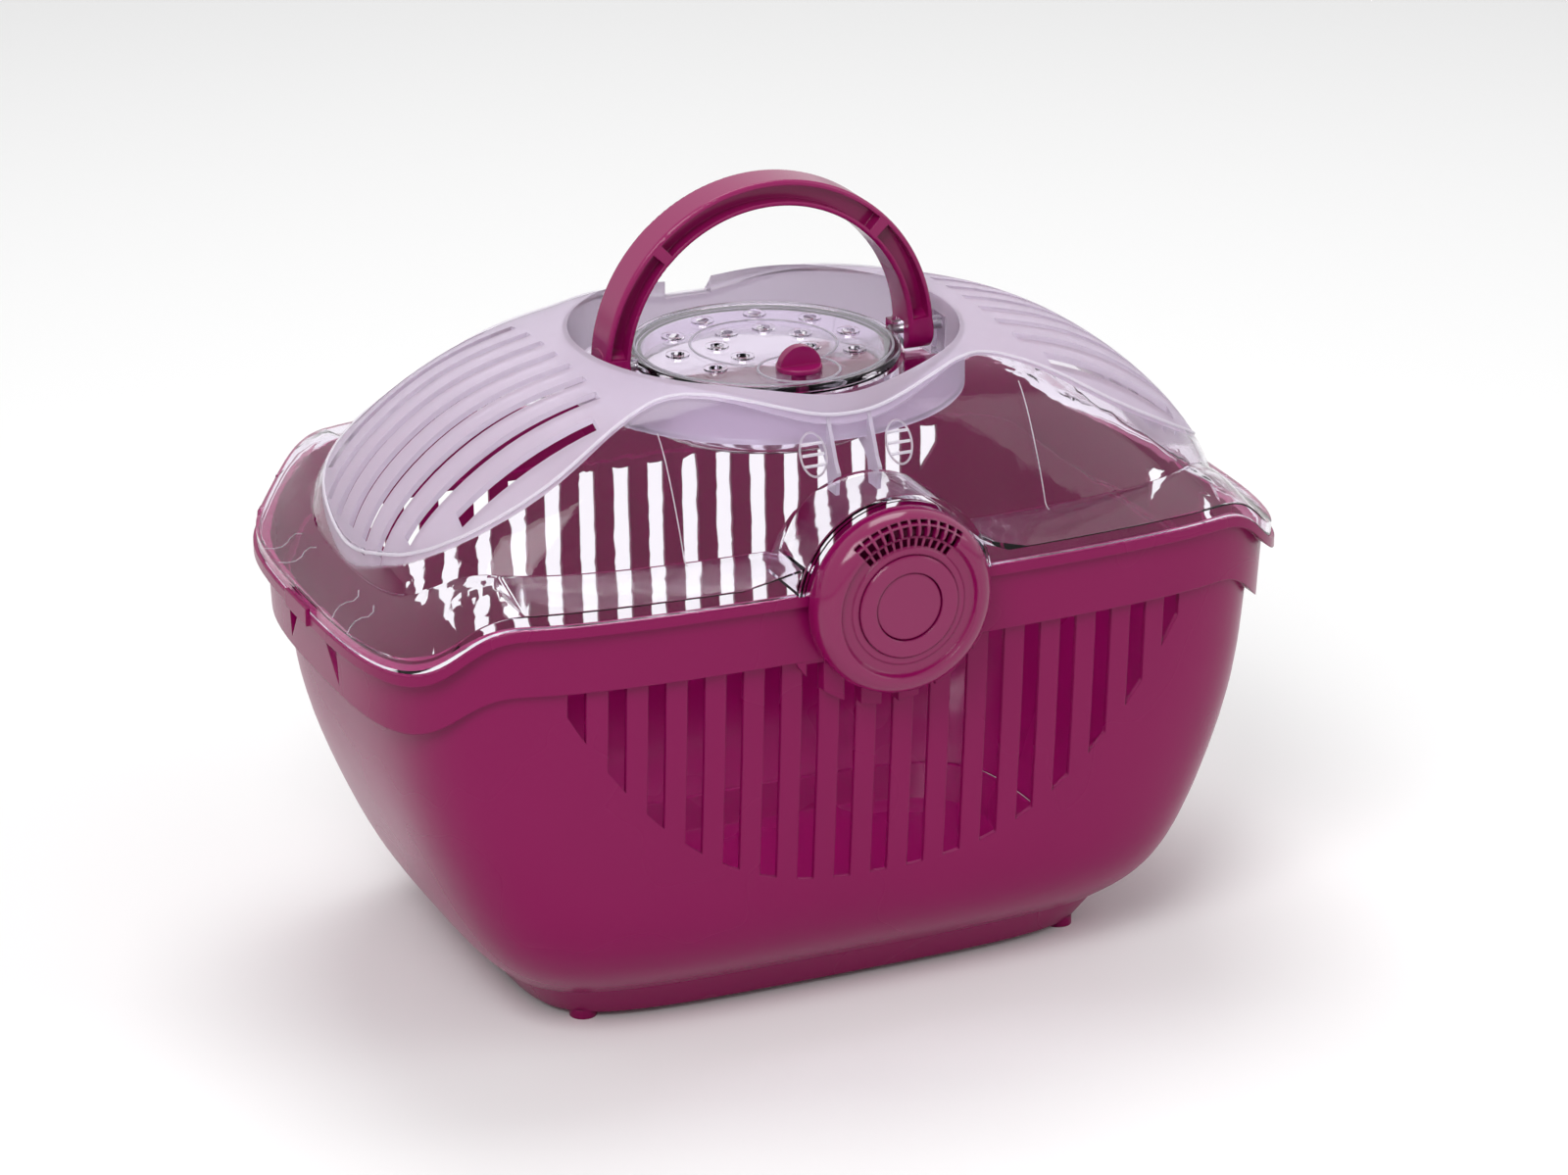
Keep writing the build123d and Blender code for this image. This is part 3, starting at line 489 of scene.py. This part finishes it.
def shaped_lid():
    """A merged copy of the lid whose flange falls away to its outer edge."""
    mesh = nodes["lid"].data.copy()
    mesh.name = "lid_shell"
    work = bmesh.new()
    work.from_mesh(mesh)
    bmesh.ops.remove_doubles(work, verts=work.verts, dist=2e-6)
    for vertex in work.verts:
        x, y, z = vertex.co
        rise = z - rim_level(x)
        outward = ((abs(x) / 0.2495) ** 4.3 + (abs(y) / 0.1575) ** 4.3) ** (1 / 4.3)
        share = min(1.0, max(0.0, (outward - 0.90) / 0.10))
        share *= min(1.0, max(0.0, (rise - 0.0085) / 0.002))
        share *= min(1.0, max(0.0, (0.022 - rise) / 0.006))
        if abs(x) < 0.062 and y < -0.10:
            share = 0.0
        vertex.co.z -= sizes().shoulder_drop * share
    for edge in work.edges:
        edge.smooth = len(edge.link_faces) == 2 and edge.calc_face_angle(0.0) < math.radians(32)
    for face in work.faces:
        face.smooth = True
    work.to_mesh(mesh)
    work.free()
    return weighted(mesh)


def weighted(mesh):
    """The mesh with normals weighted by face area, so that slivers don't mottle it."""
    holder = bpy.data.objects.new(mesh.name + "_normals", mesh)
    bpy.context.scene.collection.objects.link(holder)
    modifier = holder.modifiers.new("weighted", "WEIGHTED_NORMAL")
    modifier.keep_sharp = True
    bpy.context.view_layer.update()
    seen = holder.evaluated_get(bpy.context.evaluated_depsgraph_get())
    made = bpy.data.meshes.new_from_object(seen)
    made.name = mesh.name + "_weighted"
    holder.modifiers.clear()
    bpy.data.objects.remove(holder)
    return made


def surface_of(mesh):
    """A search tree of a mesh's surface."""
    work = bmesh.new()
    work.from_mesh(mesh)
    tree = BVHTree.FromBMesh(work)
    work.free()
    return tree


def from_above(tree, x, y, sink=0.0):
    """The point of a surface straight under a place."""
    spot = tree.ray_cast(Vector((x, y, RAY_START_ABOVE)), Vector((0, 0, -1)))[0]
    if spot is None:
        raise RuntimeError(f"nothing of the lid lies under {x:.3f}, {y:.3f}")
    return Vector((x, y, spot.z - sink))


def from_front(tree, x, z, side=-1):
    """The point of a surface seen level from the front or the back."""
    spot = tree.ray_cast(Vector((x, RAY_START_SIDE * side, z)), Vector((0, -side, 0)))[0]
    if spot is None:
        raise RuntimeError(f"nothing of the lid faces {x:.3f}, {z:.3f}")
    return spot


class CARRIER_OT_lid_details(bpy.types.Operator):
    """Lay the frosting's edge, fine lines, gussets and oval vents on the lid"""

    bl_idname = "carrier.lid_details"
    bl_label = "Lid details"

    def execute(self, context):
        measures = sizes()
        frosted = hazy_plastic("frosted_edge", (0.95, 0.93, 0.97), 0.35)
        faint = hazy_plastic("clear_edge", (0.93, 0.91, 0.95), 0.12)
        web = hazy_plastic("frosted_web", (0.66, 0.62, 0.68), 0.5)
        lid = bpy.data.objects["lid_shell"]
        surface = surface_of(lid.data)
        ridges = ridge_tree()
        edge = []
        for step in range(720):
            angle = math.radians(step / 2)
            reach = frost_radius(step / 2)
            spot = from_above(surface, reach * math.cos(angle), reach * math.sin(angle))
            edge.append(spot)
        heights = np.array([p.z for p in edge])
        for index, spot in enumerate(edge):
            around = heights[np.arange(index - 8, index + 9) % len(edge)]
            if spot.z < np.median(around) - 0.002:
                spot.z = float(np.median(around))
        grown("lid_frost_edge", paths_mesh("frost_path", [(edge, True)]), ridges, frosted, "lid",
              "clear_plastic", Ridge_radius=measures.step_radius, Sides=8)
        lines = []
        for side_x in (-1, 1):
            for side_y in (-1, 1):
                seam = [from_above(surface, side_x * SEAM_X, side_y * (0.094 + 0.002 * i),
                                   LINE_SINK) for i in range(19)]
                lines.append((seam, False))
                for shift in (0.030, 0.052):
                    hook = [(0.2470, shift + 0.011), (0.2440, shift + 0.0065),
                            (0.2405, shift + 0.0035),
                            (0.2370, shift + 0.0040), (0.2345, shift + 0.0070),
                            (0.2318, shift + 0.0065), (0.2300, shift + 0.0020)]
                    lines.append(([from_above(surface, side_x * x, side_y * y, LINE_SINK)
                                   for x, y in hook], False))
        grown("lid_mould_lines", paths_mesh("line_path", lines), ridges, faint, "lid",
              "clear_plastic", Ridge_radius=measures.line_radius, Sides=6)
        ovals, spots = [], []
        bars = measures.vent_bars
        for side in (-1, 1):
            loop = []
            for step in range(40):
                angle = 2 * math.pi * step / 40
                loop.append(from_front(surface,
                                       side * VENT_X + VENT_HALF_WIDTH * math.cos(angle),
                                       VENT_Z + VENT_HALF_HEIGHT * math.sin(angle)))
            ovals.append((loop, True))
            for index in range(bars):
                height = VENT_Z + VENT_HALF_HEIGHT * (2 * (index + 1) / (bars + 1) - 1)
                spots.append(from_front(surface, side * VENT_X, height))
        grown("lid_vent_frames", paths_mesh("oval_path", ovals), ridges, faint, "lid",
              "clear_plastic", Ridge_radius=0.0006, Sides=8)
        points = bpy.data.meshes.new("bar_points")
        points.from_pydata([tuple(p) for p in spots], [], [])
        grown("lid_vent_bars", points, bar_tree(), frosted, "lid", "clear_plastic",
              Bar_length=0.0116, Bar_thickness=0.0011, Slope=math.radians(25))
        half = measures.gusset_thickness / 2
        work = bmesh.new()
        for centre in (-GUSSET_X, GUSSET_X):
            outer = [(from_front(surface, centre, 0.309 - 0.002 * i).y + 0.0028, 0.309 - 0.002 * i)
                     for i in range(12)]
            inner = [(-0.1040, 0.280), (-0.1030, 0.2845), (-0.0990, 0.2885), (-0.0930, 0.2915),
                     (-0.0880, 0.2945), (-0.1025, 0.2948), (-0.1025, 0.3085)]
            outline = [p for p in outer if p[1] > 0.287] + [(-0.1165, 0.2845), (-0.1165, 0.272),
                                                            (-0.1060, 0.272)] + inner
            fronts = [work.verts.new((centre - half, y, z)) for y, z in outline]
            backs = [work.verts.new((centre + half, y, z)) for y, z in outline]
            work.faces.new(fronts)
            work.faces.new(list(reversed(backs)))
            for index in range(len(outline)):
                after = (index + 1) % len(outline)
                work.faces.new((fronts[index], backs[index], backs[after], fronts[after]))
        bmesh.ops.recalc_face_normals(work, faces=work.faces)
        bmesh.ops.triangulate(work, faces=[f for f in work.faces if len(f.verts) > 4])
        mesh = bpy.data.meshes.new("lid_gussets")
        work.to_mesh(mesh)
        work.free()
        piece("lid_gussets", mesh, web, "lid")
        return {"FINISHED"}


class CARRIER_OT_cover_rings(bpy.types.Operator):
    """Lay the raised rings on the compartment's cover"""

    bl_idname = "carrier.cover_rings"
    bl_label = "Cover rings"

    def execute(self, context):
        _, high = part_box("compartment_cover")
        clear = hazy_plastic("cover_ring_plastic", (0.80, 0.78, 0.84), 0.2)
        level = high.z - RING_SINK
        rings = []
        for centre_y, radius in ((-0.044, 0.0205), (0.0, 0.0655), (0.0, 0.0372)):
            ring = [Vector((radius * math.cos(a), centre_y + radius * math.sin(a), level))
                    for a in np.linspace(0, 2 * math.pi, 96, endpoint=False)]
            if radius < 0.05 and centre_y == 0.0:
                ring = [p for p in ring if (p - Vector((0, -0.044, level))).length > 0.0215]
                start = max(range(len(ring)), key=lambda i: (ring[i] - ring[i - 1]).length)
                ring = ring[start:] + ring[:start]
                rings.append((ring, False))
            else:
                rings.append((ring, True))
        grown("cover_rings", paths_mesh("ring_path", rings), bpy.data.node_groups["moulded_ridge"],
              clear, "cover", "clear_plastic", Ridge_radius=0.0007, Sides=8)
        return {"FINISHED"}


class CARRIER_OT_studio(bpy.types.Operator):
    """Set up the floor, the lamps and the camera"""

    bl_idname = "carrier.studio"
    bl_label = "Studio"

    def execute(self, context):
        scene = context.scene
        mesh = bpy.data.meshes.new("floor")
        half = 9.0
        mesh.from_pydata([(-half, -half, 0), (half, -half, 0), (half, half, 0), (-half, half, 0)],
                         [], [(0, 1, 2, 3)])
        floor = bpy.data.objects.new("floor", mesh)
        scene.collection.objects.link(floor)
        material, tree, surface, _ = shader("floor_paper")
        _, _, bump = grain(tree, 200.0, 0.05, 0.0003)
        surface.inputs["Base Color"].default_value = (*finish().floor_colour, 1.0)
        surface.inputs["Roughness"].default_value = 0.9
        surface.inputs["Specular IOR Level"].default_value = 0.1
        tree.links.new(bump.outputs[0], surface.inputs["Normal"])
        mesh.materials.append(material)
        for name, spot, aim, size, power in (
                ("key", (-1.7, -1.9, 2.6), (0, 0, 0.15), 1.6, 62.0),
                ("fill", (2.4, -1.6, 1.6), (0, 0, 0.2), 1.8, 18.0),
                ("top", (0.3, 0.9, 2.9), (0, 0, 0.2), 1.6, 36.0)):
            lamp = bpy.data.lights.new(name, "AREA")
            lamp.size = size
            lamp.energy = power
            holder = bpy.data.objects.new(name, lamp)
            holder.location = spot
            holder.rotation_mode = "QUATERNION"
            away = Vector(spot) - Vector(aim)
            holder.rotation_quaternion = away.to_track_quat("Z", "Y")
            scene.collection.objects.link(holder)
        world = bpy.data.worlds.new("studio")
        world.use_nodes = True
        tree = world.node_tree
        background = tree.nodes["Background"]
        background.inputs["Color"].default_value = (1.0, 1.0, 1.0, 1.0)
        light_path = tree.nodes.new("ShaderNodeLightPath")
        seen = maths(tree, "ADD", light_path.outputs["Is Camera Ray"],
                     light_path.outputs["Is Glossy Ray"])
        seen = maths(tree, "ADD", seen, light_path.outputs["Is Transmission Ray"], clamp=True)
        level = maths(tree, "ADD", maths(tree, "MULTIPLY", seen, 0.55), 0.45)
        tree.links.new(level, background.inputs["Strength"])
        scene.world = world
        scene.view_settings.view_transform = "Standard"
        camera = bpy.data.cameras.new("camera")
        camera.sensor_width = 36.0
        camera.lens = 114.1
        camera.clip_start = 0.05
        camera.clip_end = 60.0
        holder = bpy.data.objects.new("camera", camera)
        holder.location = (-0.9555, -2.1825, 1.1118)
        holder.rotation_mode = "QUATERNION"
        holder.rotation_quaternion = Vector((-0.3773, -0.8517, 0.3637)).to_track_quat("Z", "Y")
        scene.collection.objects.link(holder)
        scene.camera = holder
        return {"FINISHED"}


class CARRIER_PT_panel(bpy.types.Panel):
    """Colours, sizes and steps of the carrier"""

    bl_idname = "CARRIER_PT_panel"
    bl_label = "Pet carrier"
    bl_space_type = "VIEW_3D"
    bl_region_type = "UI"
    bl_category = "Carrier"

    def draw(self, context):
        layout = self.layout
        for group in (context.scene.carrier_finish, context.scene.carrier_sizes):
            for name in group.__annotations__:
                layout.prop(group, name)
        for operator in OPERATORS:
            layout.operator(operator.bl_idname)


OPERATORS = (CARRIER_OT_studio, CARRIER_OT_tub, CARRIER_OT_handle, CARRIER_OT_lid,
             CARRIER_OT_lid_details, CARRIER_OT_cover_rings)
CLASSES = (CarrierFinish, CarrierSizes, *OPERATORS, CARRIER_PT_panel)


def register():
    for entry in CLASSES:
        bpy.utils.register_class(entry)
    bpy.types.Scene.carrier_finish = bpy.props.PointerProperty(type=CarrierFinish)
    bpy.types.Scene.carrier_sizes = bpy.props.PointerProperty(type=CarrierSizes)


def unregister():
    del bpy.types.Scene.carrier_sizes
    del bpy.types.Scene.carrier_finish
    for entry in reversed(CLASSES):
        bpy.utils.unregister_class(entry)


def main():
    register()
    for operator in OPERATORS:
        group, name = operator.bl_idname.split(".")
        getattr(getattr(bpy.ops, group), name)()


if __name__ == "__main__":
    main()
